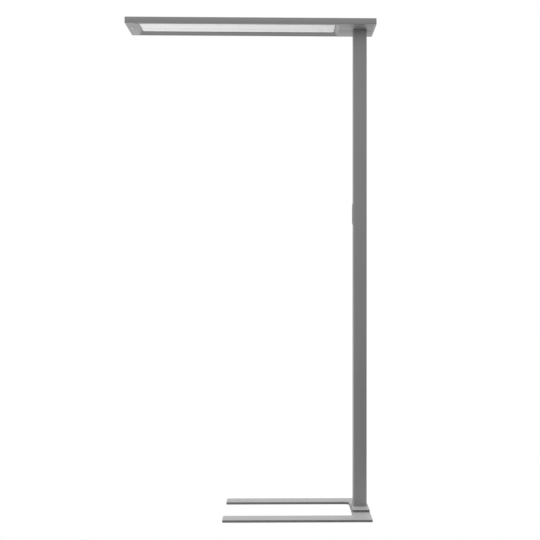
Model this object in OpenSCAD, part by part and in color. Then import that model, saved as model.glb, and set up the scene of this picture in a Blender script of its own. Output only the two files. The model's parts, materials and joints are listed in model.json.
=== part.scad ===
// Office floor lamp: a long flat head on an upright pole, which stands on a U-shaped floor plate.
// Millimetres, +Z up. The origin is on the floor under the pole's axis. The head and the plate's
// two arms run from the pole towards -X, and -Y is the front.

/* [Lamp] */
// Height of the head's top above the floor
lamp_h = 1950; // [1700:10:2100]

/* [Floor plate] */
// Length of the plate along its arms
base_l = 571; // [450:1:700]
// Depth over both arms
base_d = 362; // [300:1:420]
// Thickness of the plate
base_t = 9.5; // [8:0.5:15]
// Width of each arm
arm_w = 69; // [50:1:90]
// Width of the bar that joins the arms
cross_w = 70; // [70:0.5:110]
// Distance from the pole's axis to the plate's right-hand edge
base_right = 34; // [34:0.5:60]
// Distance that the plate's middle lies in front of the pole's axis
base_forward = 19.5; // [0:0.5:40]
// Radius of the plate's outer corners
base_corner_r = 5; // [2:0.5:12]
// Radius of the fillets between the arms and the cross bar
base_fillet_r = 16; // [6:1:30]
// Bevel along the plate's top edges
base_bevel = 0.8; // [0.6:0.1:2.5]
// Diameter of the small rubber pads under the plate
pad_d = 22; // [14:1:30]
// Diameter of the pad under the pole
pole_pad_d = 34; // [24:1:50]
// Height of the pads
pad_t = 1.5; // [1:0.1:4]
// Distance of the small pads from the plate's edges
pad_inset = 32; // [25:1:34]

/* [Foot block] */
// Width of the block that carries the pole
foot_w = 66; // [64:1:68]
// Distance from the pole's axis to the block's front face
foot_front = 83; // [60:1:100]
// Distance from the pole's axis to the block's rear face
foot_rear = 26; // [26:1:50]
// Height of the block
foot_h = 9.5; // [6:0.5:16]
// Bevel along the block's top edges
foot_bevel = 0.8; // [0.4:0.1:2]

/* [Pole] */
// Width of the pole, along the head
pole_w = 54; // [50:1:60]
// Depth of the pole
pole_d = 48; // [44:1:56]
// Wall of the pole
pole_wall = 2.5; // [2:0.5:4]
// Radius of the pole's corners
pole_r = 4; // [3:0.5:6]
// Height of the stub inside the pole's foot
foot_stub_h = 46; // [40:1:60]
// Height of the stub inside the pole's head end
head_stub_h = 72; // [60:1:90]
// Wall of the hollow stub in the pole's head end
stub_wall = 5; // [4:0.5:6]

/* [Cord inlet] */
// Height of the inlet's axis above the floor
inlet_z = 92; // [88:1:140]
// Bore of the inlet, for a 7 mm cord
inlet_bore_d = 7.4; // [6:0.1:9]
// Diameter of the inlet's thread in the pole's wall
inlet_thread_d = 12; // [11:0.5:14]
// Diameter of the inlet's cap outside the pole
inlet_cap_d = 17; // [16:0.5:20]
// Length of the cap outside the pole
inlet_cap_l = 13; // [8:0.5:20]
// Diameter of the internal lead
lead_d = 6; // [5:0.5:7]
// Bend radius of the internal lead
lead_bend_r = 12; // [10:1:14]

/* [Control panel] */
// Height of the panel's middle above the floor
panel_z = 1184; // [1000:1:1300]
// Height of the panel
panel_h = 82; // [76:1:110]
// Width of the panel
panel_w = 26; // [22:1:34]
// Thickness of the panel outside the pole
panel_t = 2.4; // [1.6:0.1:4]
// Radius of the panel's corners
panel_r = 3; // [1:0.5:6]
// Diameter of the buttons
button_d = 12; // [9:0.5:13]
// Distance between the buttons
button_pitch = 20; // [17:0.5:22]
// Height of the buttons above the panel
button_proud = 1; // [0.8:0.1:2]
// Travel of the buttons
button_travel = 0.6; // [0.4:0.1:0.7]
// Radial clearance round each button
button_gap = 0.1; // [0.05:0.01:0.1]

/* [Head] */
// Length of the head
head_l = 990; // [800:5:1200]
// Depth of the head
head_d = 200; // [180:1:240]
// Height of the head
head_h = 24; // [24:0.5:30]
// Distance from the pole's axis to the head's right-hand end
head_right = 59; // [52:0.5:80]
// Outer wall of the head's rails
rail_wall = 2.5; // [2:0.1:3]
// Radius of the head's upright corners
head_corner_r = 4; // [2.5:0.5:5]
// Width of the rim that the rails show underneath and on top
rim_w = 8; // [6:0.5:10]
// Thickness of the rails' flanges and of the covers that lie flush with them
flange_t = 1.8; // [1.5:0.1:2]

/* [Light opening] */
// Length of the sensor plate, between the left-hand rim and the bevel
sensor_plate_l = 27; // [24:0.5:60]
// Depth of the light opening
open_d = 139; // [110:1:148]
// Distance from the pole's axis to the opening's near end
open_right = 101; // [98:1:130]
// Width of the bevel round the opening
bevel_w = 15; // [10:0.5:16]
// Height of the bevel, which is how deep the diffuser lies
recess = 9; // [8:0.5:10]
// Thickness of the diffuser panes
pane_t = 2; // [1.5:0.1:2.5]
// Depth of the middle diffuser pane
mid_pane_d = 74; // [50:1:90]
// Gap between the diffuser panes
pane_gap = 0.8; // [0.3:0.1:1.5]
// Distance that the light window on top ends short of the opening, at both ends
window_short = 18; // [10:1:60]
// Depth of the light window on top
window_d = 136; // [80:1:150]

/* [Covers and sensors] */
// Gap of the seam between the two covers at the pole
cover_seam = 1.2; // [0.3:0.1:2]
// Gap between the covers and the pole
pole_gap = 0.5; // [0.3:0.1:1]
// Presence sensor: distance of its axis from the head's left-hand end
sensor_in = 20; // [17:0.5:24]
// Presence sensor: distance of its axis from the head's front face
sensor_back = 73; // [60:1:120]
// Presence sensor: diameter of its bezel
sensor_bezel_d = 17; // [15:0.5:19]
// Presence sensor: diameter of its lens
sensor_lens_d = 11; // [9:0.5:12]
// Presence sensor: height that the lens stands out
sensor_lens_h = 4.5; // [3:0.5:5]
// Daylight sensor: distance of its axis from the head's left-hand end
daylight_in = 28.5; // [20:0.5:30]
// Daylight sensor: distance of its axis from the head's front face
daylight_back = 90; // [88:1:130]
// Daylight sensor: diameter of its lens
daylight_d = 5; // [4:0.5:6]

/* [Hidden] */

$fn = 48;
eps = 0.01;
slip = 0.15;            // gap between a stub and the tube round it

// Floor plate
base_x1 = base_right;
base_x0 = base_x1 - base_l;
base_y0 = -base_forward - base_d / 2;
base_y1 = -base_forward + base_d / 2;
base_z = pad_t;
plate_top = base_z + base_t;
foot_top = plate_top + foot_h;
plate_screw_x = 25;     // screws that hold the block, from the pole's axis
plate_screw_front = 66;
plate_screw_pitch = 22;
plate_screw_r = 2.5;
stub_bolt_y = 13;       // bolts that hold the stub, from the pole's axis
stub_bolt_r = 3;
bolt_head_r = 5.5;
bolt_head_t = 4.5;
bolt_gap = 0.1;
stub_bolt_up = 22;      // how far the bolts reach into the stub

// Head
head_x1 = head_right;
head_x0 = head_x1 - head_l;
head_y = head_d / 2;
head_z0 = lamp_h - head_h;
flange_z = head_z0 + flange_t;      // top of the lower flanges
lip_t = 1.5;                        // lips that rest on the lower flanges
lip_z = flange_z + lip_t;
lip_reach = rim_w - rail_wall - 0.5;
web_t = 2;                          // inner web of the rails
web_reach = 14;                     // how far the web reaches in from the face
guide_t = 3;                        // light guide and the reflector over it
reflector_t = 1;
web_z = head_z0 + recess + pane_t + guide_t + reflector_t;
top_z = lamp_h - flange_t;          // underside of the top cover
web_y = head_y - rail_wall - 0.3;   // edge of what lies on the webs

// Light opening
open_x1 = -open_right;
open_x0 = head_x0 + rim_w + sensor_plate_l + bevel_w;
open_l = open_x1 - open_x0;
pane_z = head_z0 + recess;
pane_rest = 5;                      // how far the panes reach past the opening
frame_t = 1.7;                      // sheet of the light frame, upright
plate_t = 1.5;                      // carrier plate
bracket_t = 4;
bracket_x0 = -86;
carrier_end = 8;                    // gap between the carrier plate and the bracket
led_board_t = 1.6;
upper_pane_t = 1.7;
upper_board_w = 36;
upper_board_in = 12;
window_x0 = open_x0 + window_short;
window_x1 = open_x1 - window_short;
window_l = window_x1 - window_x0;
window_rest = 5;                    // how far the upper pane reaches past its window
bracket_screw_r = 2;
top_screw_r = 1.2;
top_head_r = 2.2;
top_screw_in = 40;                  // from the head's ends
key_arm = 28;                       // corner keys
key_t = 5;
flat_lead_w = 6;
flat_lead_t = 1;
sensor_lead_y = -75;
sensor_board_d = 44;
sensor_board_front = 12;            // how far the board reaches in front of the presence sensor
top_head_z = 0.7;                   // underside of the screws' heads above the cover's underside
gear_x0 = -80;                      // driver and dimmer beside the pole
gear_y = 30;
gear_d = 52;
driver_l = 112;
dimmer_l = 96;
dome_steps = 8;

// Pole
pole_top = web_z;
slot_w = 34;                        // wire slots at the pole's top, inside the head
slot_z0 = lip_z + 0.7;
slot_h = 8;
grub_r = 2.5;
head_grub_z = [head_z0 - 26, head_z0 - 12];
foot_grub_z = [foot_top + 14, foot_top + 32];

// Control panel
panel_x = -pole_w / 2;              // the face that it lies on
window_hw = 8;                      // half width of the hole behind it
window_end = 10;                    // from the panel's ends to the hole
window_gap = 0.2;
frame_depth = 9;
board_t = 1.6;
board_x = panel_x + frame_depth - board_t;
button_flange = 0.7;    // how far a button's flange reaches past its cap
button_flange_t = 1;
button_flange_gap = 0.25;
stem_d = 3;
stem_gap = 0.3;         // left between stem and switch at full travel
switch_h = 2.6;
switch_w = 6;
panel_screw_z = panel_h / 2 - 6;

// An upright block whose four upright edges are rounded
module rounded_block(x0, x1, y0, y1, z0, z1, r) {
    difference() {
        translate([x0, y0, z0]) cube([x1 - x0, y1 - y0, z1 - z0]);
        for (sx = [0, 1], sy = [0, 1])
            translate([sx == 0 ? x0 + r : x1 - r, sy == 0 ? y0 + r : y1 - r, z0 - 1])
                difference() {
                    translate([sx == 0 ? -r - 1 : 0, sy == 0 ? -r - 1 : 0, 0])
                        cube([r + 1, r + 1, z1 - z0 + 2]);
                    translate([0, 0, -1]) cylinder(r = r, h = z1 - z0 + 4);
                }
    }
}

// A flat block with rounded upright edges and a bevel along its top edges
module bevelled_block(x0, x1, y0, y1, z0, z1, r, c) {
    l = x1 - x0;
    d = y1 - y0;
    t = z1 - z0;
    translate([x0, y0, z0]) difference() {
        intersection() {
            translate([0, d, 0]) rotate([90, 0, 0]) linear_extrude(d)
                polygon([[0, 0], [l, 0], [l, t - c], [l - c, t], [c, t], [0, t - c]]);
            rotate([90, 0, 90]) linear_extrude(l)
                polygon([[0, 0], [d, 0], [d, t - c], [d - c, t], [c, t], [0, t - c]]);
        }
        for (sx = [0, 1], sy = [0, 1])
            translate([sx == 0 ? r : l - r, sy == 0 ? r : d - r, 0]) difference() {
                translate([sx == 0 ? -r - 1 : 0, sy == 0 ? -r - 1 : 0, -1])
                    cube([r + 1, r + 1, t + 2]);
                rotate_extrude() polygon([[0, -2], [r, -2], [r, t - c], [r - c, t],
                    [r - c, t + 2], [0, t + 2]]);
            }
    }
}

// The fillet in one inner corner; sy is 1 for the front arm's and -1 for the rear arm's
module base_fillet(x, y, sy) {
    r = base_fillet_r;
    c = base_bevel;
    t = base_t;
    translate([x, y, base_z]) mirror([0, sy > 0 ? 0 : 1, 0]) difference() {
        translate([-r, -c, 0]) cube([r + c, r + c, t]);
        translate([-r, r, 0]) rotate_extrude() polygon([[0, -1], [r, -1], [r, t - c], [r + c, t],
            [r + c, t + 1], [0, t + 1]]);
    }
}

module base_plate() {
    inner_x = base_x1 - cross_w;
    color([0.66, 0.66, 0.66]) difference() {
        union() {
            bevelled_block(base_x0, base_x1, base_y0, base_y0 + arm_w, base_z, plate_top,
                base_corner_r, base_bevel);
            bevelled_block(base_x0, base_x1, base_y1 - arm_w, base_y1, base_z, plate_top,
                base_corner_r, base_bevel);
            bevelled_block(inner_x, base_x1, base_y0, base_y1, base_z, plate_top,
                base_corner_r, base_bevel);
            base_fillet(inner_x, base_y0 + arm_w, 1);
            base_fillet(inner_x, base_y1 - arm_w, -1);
        }
        plate_screw_places() {
            translate([0, 0, base_z - 1]) cylinder(r = plate_screw_r + bolt_gap, h = base_t + 2);
            translate([0, 0, base_z - 1]) cylinder(r = plate_screw_r * 2 + bolt_gap, h = 4);
        }
        stub_bolt_places() {
            translate([0, 0, base_z - 1]) cylinder(r = stub_bolt_r + bolt_gap, h = base_t + 2);
            translate([0, 0, base_z - 1]) cylinder(r = bolt_head_r + bolt_gap, h = bolt_head_t + 1);
        }
    }
}

module plate_screw_places() {
    for (x = [-plate_screw_x, plate_screw_x],
         y = [-plate_screw_front, -plate_screw_front + plate_screw_pitch])
        translate([x, y, 0]) children();
}

module stub_bolt_places() {
    for (y = [-stub_bolt_y, stub_bolt_y]) translate([0, y, 0]) children();
}

module floor_pads() {
    color([0.12, 0.12, 0.12]) {
        cylinder(d = pole_pad_d, h = pad_t);
        for (x = [base_x0 + pad_inset, base_x1 - pad_inset],
             y = [base_y0 + pad_inset, base_y1 - pad_inset])
            translate([x, y, 0]) cylinder(d = pad_d, h = pad_t);
    }
}

module foot_block() {
    color([0.6, 0.6, 0.6]) difference() {
        bevelled_block(-foot_w / 2, foot_w / 2, -foot_front, foot_rear, plate_top, foot_top,
            foot_bevel * 2, foot_bevel);
        plate_screw_places() translate([0, 0, plate_top - 1])
            cylinder(r = plate_screw_r, h = foot_h - 1);
        stub_bolt_places() translate([0, 0, plate_top - 1])
            cylinder(r = stub_bolt_r + bolt_gap, h = foot_h + 2);
    }
}

module plate_screws() {
    color([0.5, 0.5, 0.5]) plate_screw_places() {
        translate([0, 0, base_z + 0.5]) cylinder(r = plate_screw_r * 2, h = 2.5);
        translate([0, 0, base_z + 3 - eps]) cylinder(r = plate_screw_r, h = base_t + foot_h - 6);
    }
}

module stub_bolts() {
    color([0.4, 0.4, 0.4]) stub_bolt_places() {
        translate([0, 0, base_z + bolt_head_t - 4]) cylinder(r = bolt_head_r, h = 4);
        translate([0, 0, base_z + bolt_head_t - eps])
            cylinder(r = stub_bolt_r, h = base_t + foot_h + stub_bolt_up - bolt_head_t);
    }
}

// The outer shape of a stub that fills the pole, between two heights
module stub_body(z0, z1) {
    hw = pole_w / 2 - pole_wall - slip;
    hd = pole_d / 2 - pole_wall - slip;
    rounded_block(-hw, hw, -hd, hd, z0, z1, pole_r - pole_wall + 0.5);
}

module foot_stub() {
    color([0.7, 0.7, 0.7]) difference() {
        stub_body(foot_top, foot_top + foot_stub_h);
        stub_bolt_places() translate([0, 0, foot_top - 1])
            cylinder(r = stub_bolt_r, h = stub_bolt_up + 3);
        grub_holes(foot_grub_z);
    }
}

// Threaded holes from the rear, at the given heights
module grub_holes(heights) {
    for (z = heights) translate([0, pole_d / 2 - pole_wall - stub_wall - 2, z])
        rotate([-90, 0, 0]) cylinder(r = grub_r, h = pole_wall + stub_wall + 4);
}

// Screws from the rear, flush with the pole's face
module grub_screws(heights) {
    socket_r = 1.3;
    for (z = heights) translate([0, pole_d / 2 - pole_wall - stub_wall + 0.5, z])
        rotate([-90, 0, 0]) difference() {
            cylinder(r = grub_r, h = pole_wall + stub_wall - 0.7);
            translate([0, 0, pole_wall + stub_wall - 2.7])
                cylinder(r = socket_r, h = 4, $fn = 6);
        }
}

module foot_grub_screws() {
    color([0.35, 0.35, 0.35]) grub_screws(foot_grub_z);
}

module head_grub_screws() {
    color([0.35, 0.35, 0.35]) grub_screws(head_grub_z);
}

module pole() {
    in_w = pole_w / 2 - pole_wall;
    in_d = pole_d / 2 - pole_wall;
    color([0.62, 0.62, 0.62]) difference() {
        rounded_block(-pole_w / 2, pole_w / 2, -pole_d / 2, pole_d / 2, foot_top, pole_top, pole_r);
        rounded_block(-in_w, in_w, -in_d, in_d, foot_top - 2, pole_top + 2, pole_r - pole_wall);
        grub_holes(foot_grub_z);
        grub_holes(head_grub_z);
        // wire slots inside the head, front and rear
        translate([-slot_w / 2, -pole_d / 2 - 1, slot_z0]) cube([slot_w, pole_d + 2, slot_h]);
        // hole behind the control panel
        translate([-pole_w / 2 - 1, -window_hw, panel_z - panel_h / 2 + window_end])
            cube([pole_wall + 2, window_hw * 2, panel_h - 2 * window_end]);
        panel_screw_places() rotate([0, 90, 0])
            translate([0, 0, -1]) cylinder(r = 1.25, h = pole_wall + 2);
        // hole for the cord inlet
        translate([0, pole_d / 2 - pole_wall - 1, inlet_z]) rotate([-90, 0, 0])
            cylinder(d = inlet_thread_d + 0.2, h = pole_wall + 2);
    }
}

module inlet_gland() {
    color([0.1, 0.1, 0.1]) translate([0, pole_d / 2, inlet_z]) rotate([-90, 0, 0]) difference() {
        union() {
            translate([0, 0, -pole_wall - 5]) cylinder(d = inlet_thread_d, h = pole_wall + 5 + eps);
            cylinder(d = inlet_cap_d, h = 3);
            translate([0, 0, 3 - eps])
                cylinder(d1 = inlet_cap_d - 1, d2 = inlet_bore_d + 4, h = inlet_cap_l - 3 + eps);
        }
        translate([0, 0, -pole_wall - 6]) cylinder(d = inlet_bore_d, h = pole_wall + inlet_cap_l + 7);
    }
}

module inlet_nut() {
    color([0.15, 0.15, 0.15]) translate([0, pole_d / 2 - pole_wall - 4.2, inlet_z])
        rotate([-90, 0, 0]) difference() {
            cylinder(d = inlet_thread_d + 6, h = 4.2, $fn = 6);
            translate([0, 0, -1]) cylinder(d = inlet_thread_d + 0.1, h = 7);
        }
}

// The supply lead inside the pole, from the inlet up to the driver in the head
module inner_lead() {
    r = lead_bend_r;
    z_low = inlet_z;
    z_top = slot_z0 + slot_h / 2;
    y_in = pole_d / 2 - pole_wall - 5.6;
    color([0.75, 0.75, 0.75]) {
        translate([0, r - eps, z_low]) rotate([-90, 0, 0])
            cylinder(d = lead_d, h = y_in - r + eps);
        lead_bend(z_low + r, 1);
        translate([0, 0, z_low + r]) cylinder(d = lead_d, h = z_top - z_low - 2 * r);
        lead_bend(z_top - r, -1);
        translate([0, r - eps, z_top]) rotate([-90, 0, 0])
            cylinder(d = lead_d, h = gear_y - r + eps);
    }
}

// A quarter bend in the plane of the pole's depth, from upright to rearward
module lead_bend(z, up) {
    translate([0, lead_bend_r, z]) rotate([0, -90, 0]) rotate([0, 0, up > 0 ? 180 : -90])
        rotate_extrude(angle = 90) translate([lead_bend_r, 0]) circle(d = lead_d);
}

module panel_screw_places() {
    for (s = [-1, 1]) translate([panel_x, 0, panel_z + s * panel_screw_z]) children();
}

// Places of the buttons, from 1 at the top to -1 at the bottom
module button_place(i) {
    translate([panel_x, 0, panel_z + i * button_pitch]) children();
}

module control_panel() {
    color([0.55, 0.55, 0.55]) difference() {
        translate([panel_x - panel_t, 0, panel_z]) rotate([0, 90, 0])
            rounded_block(-panel_h / 2, panel_h / 2, -panel_w / 2, panel_w / 2, 0, panel_t, panel_r);
        for (i = [-1, 0, 1]) button_place(i) rotate([0, 90, 0])
            translate([0, 0, -panel_t - 1]) cylinder(d = button_d + 2 * button_gap, h = panel_t + 2);
        panel_screw_places() rotate([0, 90, 0]) translate([0, 0, -panel_t - 1]) {
            cylinder(r = 1.4, h = panel_t + 2);
            cylinder(r = 2.3, h = 2);
        }
    }
}

module panel_screws() {
    color([0.4, 0.4, 0.4]) panel_screw_places() rotate([0, 90, 0]) difference() {
        union() {
            translate([0, 0, -panel_t]) cylinder(r = 2.2, h = 0.9);
            translate([0, 0, -panel_t + 0.9 - eps]) cylinder(r = 1.2, h = panel_t + pole_wall);
        }
        translate([0, 0, -panel_t - 1]) cylinder(r = 0.8, h = 1.6, $fn = 6);
    }
}

// One button: a round cap with a flange behind the panel and a stem towards its switch
module button(i) {
    flange_x = button_flange_gap;
    stem_end = frame_depth - board_t - switch_h - button_travel - stem_gap;
    cap_h = panel_t + button_proud + flange_x;
    button_place(i) rotate([0, 90, 0]) {
        translate([0, 0, flange_x - cap_h]) cylinder(d = button_d, h = cap_h + eps);
        translate([0, 0, flange_x]) cylinder(d = button_d + 2 * button_flange, h = button_flange_t);
        translate([0, 0, flange_x]) cylinder(d = stem_d, h = stem_end - flange_x);
    }
}

module button_up() {
    color([0.85, 0.85, 0.85]) button(1);
}

module button_power() {
    color([0.85, 0.85, 0.85]) button(0);
}

module button_down() {
    color([0.85, 0.85, 0.85]) button(-1);
}

// The plastic frame that stands in the pole's hole and holds the board
module control_frame() {
    hw = window_hw - window_gap;
    hh = panel_h / 2 - window_end - window_gap;
    wall = 0.7;
    color([0.2, 0.2, 0.2]) difference() {
        translate([panel_x, -hw, panel_z - hh]) cube([frame_depth - board_t, hw * 2, hh * 2]);
        translate([panel_x - 1, -hw + wall, panel_z - hh + wall])
            cube([frame_depth + 1, (hw - wall) * 2, (hh - wall) * 2]);
    }
}

module control_board() {
    hw = window_hw - window_gap;
    hh = panel_h / 2 - window_end - window_gap;
    color([0.1, 0.35, 0.2]) {
        translate([board_x, -hw, panel_z - hh]) cube([board_t, hw * 2, hh * 2]);
        for (i = [-1, 0, 1]) button_place(i) {
            translate([frame_depth - board_t - switch_h + 1, -switch_w / 2, -switch_w / 2])
                cube([switch_h - 1 + eps, switch_w, switch_w]);
            translate([frame_depth - board_t - switch_h, 0, 0]) rotate([0, 90, 0])
                cylinder(d = stem_d, h = switch_h);
        }
    }
}

// Flat lead from the control board up to the dimmer module
module control_lead() {
    x = board_x + board_t;
    t = flat_lead_t;
    w = flat_lead_w;
    off = 4.5;              // how far the lead stands off the board
    plug_h = 20;
    z_top = slot_z0 + slot_h - 2;
    color([0.8, 0.8, 0.8]) {
        translate([x, -w / 2, panel_z]) cube([t, w, plug_h]);
        translate([x, -w / 2, panel_z + plug_h - t]) cube([off + t, w, t]);
        translate([x + off, -w / 2, panel_z + plug_h - t])
            cube([t, w, z_top - panel_z - plug_h + t]);
        translate([x + off, -gear_y, z_top - t]) cube([w, gear_y + w / 2, t]);
    }
}

// Section of a rail: outward face at 0, inward is +, from the head's underside up
module rail_section() {
    h = head_h;
    zw = web_z - head_z0;
    zt = top_z - head_z0;
    polygon([[0, 0], [rim_w, 0], [rim_w, flange_t], [rail_wall, flange_t],
        [rail_wall, zw - web_t], [web_reach, zw - web_t], [web_reach, zw], [rail_wall, zw],
        [rail_wall, zt - upper_pane_t], [rim_w, zt - upper_pane_t], [rim_w, zt],
        [rail_wall, zt], [rail_wall, h], [0, h]]);
}

// A rail of a given length, mitred at both ends, with its face on the X axis
module mitred_rail(l) {
    reach = web_reach + 1;
    difference() {
        intersection() {
            rotate([90, 0, 90]) linear_extrude(l) rail_section();
            translate([0, 0, -1]) linear_extrude(head_h + 2)
                polygon([[0, 0], [l, 0], [l - reach, reach], [reach, reach]]);
        }
        for (s = [0, 1]) translate([s == 0 ? head_corner_r : l - head_corner_r, head_corner_r, -1])
            difference() {
                translate([s == 0 ? -head_corner_r - 1 : 0, -head_corner_r - 1, 0])
                    cube([head_corner_r + 1, head_corner_r + 1, head_h + 2]);
                translate([0, 0, -1]) cylinder(r = head_corner_r, h = head_h + 4);
            }
    }
}

// Tapped holes for the bracket's and the top cover's screws
module rail_holes() {
    bracket_screw_places() translate([0, 0, web_z - web_t - 1])
        cylinder(r = bracket_screw_r, h = web_t + 2);
    top_screw_places() translate([0, 0, top_z - upper_pane_t - 1])
        cylinder(r = top_screw_r, h = upper_pane_t + 2);
}

module front_rail() {
    color([0.62, 0.62, 0.62]) difference() {
        translate([head_x0, -head_y, head_z0]) mitred_rail(head_l);
        rail_holes();
    }
}

module rear_rail() {
    color([0.62, 0.62, 0.62]) difference() {
        translate([head_x1, head_y, head_z0]) rotate([0, 0, 180]) mitred_rail(head_l);
        rail_holes();
    }
}

module left_rail() {
    color([0.62, 0.62, 0.62]) translate([head_x0, head_y, head_z0]) rotate([0, 0, -90])
        mitred_rail(head_d);
}

module right_rail() {
    color([0.62, 0.62, 0.62]) translate([head_x1, -head_y, head_z0]) rotate([0, 0, 90])
        mitred_rail(head_d);
}

// L-shaped keys that join the rails, one inside each corner
module corner_keys() {
    arm = key_arm;
    t = key_t;
    z = lip_z + 0.4;
    h = web_z - web_t - 0.4 - z;
    color([0.5, 0.5, 0.5])
        for (sx = [0, 1], sy = [0, 1])
            translate([sx == 0 ? head_x0 + rail_wall : head_x1 - rail_wall,
                       sy == 0 ? -head_y + rail_wall : head_y - rail_wall, z])
                mirror([sx, 0, 0]) mirror([0, sy, 0]) union() {
                    cube([arm, t, h]);
                    cube([t, arm, h]);
                }
}

// A flush plate between the rails with a lip that rests on their lower flanges.
// x0 and x1 are its visible ends, and lip0 and lip1 how far the lip goes past them.
module flush_plate(x0, x1, y0, y1, lip_x0, lip_x1, lip_y0, lip_y1) {
    translate([x0, y0, head_z0]) cube([x1 - x0, y1 - y0, flange_t + eps]);
    translate([lip_x0, lip_y0, flange_z]) cube([lip_x1 - lip_x0, lip_y1 - lip_y0, lip_t]);
}

rim_y = head_y - rim_w;
lip_y = rim_y + lip_reach;
frame_x0 = open_x0 - bevel_w;
frame_x1 = open_x1 + bevel_w;
frame_y = open_d / 2 + bevel_w;
sensor_x = head_x0 + sensor_in;
sensor_y = -head_y + sensor_back;
daylight_x = head_x0 + daylight_in;
daylight_y = -head_y + daylight_back;

module sensor_plate() {
    color([0.66, 0.66, 0.66]) difference() {
        flush_plate(head_x0 + rim_w, frame_x0, -rim_y, rim_y,
            head_x0 + rim_w - lip_reach, frame_x0, -lip_y, lip_y);
        translate([sensor_x, sensor_y, head_z0 - 1])
            cylinder(d = sensor_lens_d + 2.4, h = 8);
        translate([daylight_x, daylight_y, head_z0 - 1])
            cylinder(d = daylight_d + 0.2, h = 8);
    }
}

// A pyramid's lower part: w by d at z, drawn in by the bevel at the light opening
module opening_pyramid(z) {
    h = recess;
    over = 0.5;             // runs past both levels along the same slopes
    k = bevel_w / h;
    intersection() {
        translate([0, head_d, z]) rotate([90, 0, 0]) linear_extrude(head_d * 2)
            polygon([[frame_x0 - over * k, -over], [frame_x1 + over * k, -over],
                [open_x1 - over * k, h + over], [open_x0 + over * k, h + over]]);
        translate([head_x0, 0, z]) rotate([90, 0, 90]) linear_extrude(head_l)
            polygon([[-frame_y - over * k, -over], [frame_y + over * k, -over],
                [open_d / 2 - over * k, h + over], [-open_d / 2 + over * k, h + over]]);
    }
}

// The bevelled frame round the light opening, with rims towards the rails
module light_frame() {
    color([0.6, 0.6, 0.6]) difference() {
        union() {
            // flat rims between the bevel and the rails' flanges
            flush_plate(frame_x0, frame_x1, -rim_y, rim_y, frame_x0, frame_x1, -lip_y, lip_y);
            intersection() {
                opening_pyramid(head_z0 + frame_t);
                translate([frame_x0, -frame_y, head_z0])
                    cube([frame_x1 - frame_x0, frame_y * 2, recess]);
            }
            translate([open_x0 - pane_rest, -open_d / 2 - pane_rest, pane_z - frame_t])
                cube([open_l + 2 * pane_rest, open_d + 2 * pane_rest, frame_t]);
        }
        opening_pyramid(head_z0);
    }
}

module pole_opening(z0, z1) {
    g = pole_gap;
    rounded_block(-pole_w / 2 - g, pole_w / 2 + g, -pole_d / 2 - g, pole_d / 2 + g, z0, z1,
        pole_r + g);
}

module front_cover() {
    y1 = -cover_seam / 2;
    color([0.66, 0.66, 0.66]) difference() {
        flush_plate(frame_x1, head_x1 - rim_w, -rim_y, y1,
            frame_x1, head_x1 - rim_w + lip_reach, -lip_y, y1);
        pole_opening(head_z0 - 1, lip_z + 1);
    }
}

module rear_cover() {
    y0 = cover_seam / 2;
    color([0.66, 0.66, 0.66]) difference() {
        flush_plate(frame_x1, head_x1 - rim_w, y0, rim_y,
            frame_x1, head_x1 - rim_w + lip_reach, y0, lip_y);
        pole_opening(head_z0 - 1, lip_z + 1);
    }
}

// One diffuser pane between two depths
module pane(y0, y1) {
    translate([open_x0 - pane_rest, y0, pane_z]) cube([open_l + 2 * pane_rest, y1 - y0, pane_t]);
}

pane_y = open_d / 2 + pane_rest;

module mid_diffuser() {
    color([0.95, 0.95, 0.95]) pane(-mid_pane_d / 2, mid_pane_d / 2);
}

module front_diffuser() {
    color([0.98, 0.98, 0.98]) pane(-pane_y, -mid_pane_d / 2 - pane_gap);
}

module rear_diffuser() {
    color([0.98, 0.98, 0.98]) pane(mid_pane_d / 2 + pane_gap, pane_y);
}

module light_guide() {
    color([0.85, 0.9, 0.95]) translate([open_x0 - pane_rest, -pane_y, pane_z + pane_t])
        cube([open_l + 2 * pane_rest, pane_y * 2, guide_t]);
}

module reflector() {
    color([1, 1, 1]) translate([open_x0 - pane_rest, -pane_y, pane_z + pane_t + guide_t])
        cube([open_l + 2 * pane_rest, pane_y * 2, reflector_t]);
}

// An upright board along one long edge of the light guide, hung from the carrier plate
module led_strip(sy) {
    y = pane_y + 0.3;
    translate([open_x0, sy > 0 ? y : -y - led_board_t, pane_z + pane_t])
        cube([open_l, led_board_t, web_z - pane_z - pane_t]);
}

module front_led_strip() {
    color([0.9, 0.9, 0.85]) led_strip(-1);
}

module rear_led_strip() {
    color([0.9, 0.9, 0.85]) led_strip(1);
}

module carrier_plate() {
    color([0.75, 0.75, 0.75]) translate([frame_x0, -web_y, web_z])
        cube([bracket_x0 - carrier_end - frame_x0, web_y * 2, plate_t]);
}

module upper_led_boards() {
    w = upper_board_w;
    inset = upper_board_in;
    color([0.92, 0.92, 0.88])
        for (s = [-1, 1]) translate([window_x0 + inset, s * window_d / 4 - w / 2, web_z + plate_t])
            cube([window_l - 2 * inset, w, led_board_t]);
}

module upper_diffuser() {
    color([0.98, 0.98, 0.98])
        translate([window_x0 - window_rest, -window_d / 2 - window_rest, top_z - upper_pane_t])
            cube([window_l + 2 * window_rest, window_d + 2 * window_rest, upper_pane_t]);
}

module top_screw_places() {
    in = (rim_w + rail_wall) / 2;
    for (x = [head_x0 + top_screw_in, (head_x0 + head_x1) / 2, head_x1 - top_screw_in], s = [-1, 1])
        translate([x, s * (head_y - in), 0]) children();
}

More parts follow.
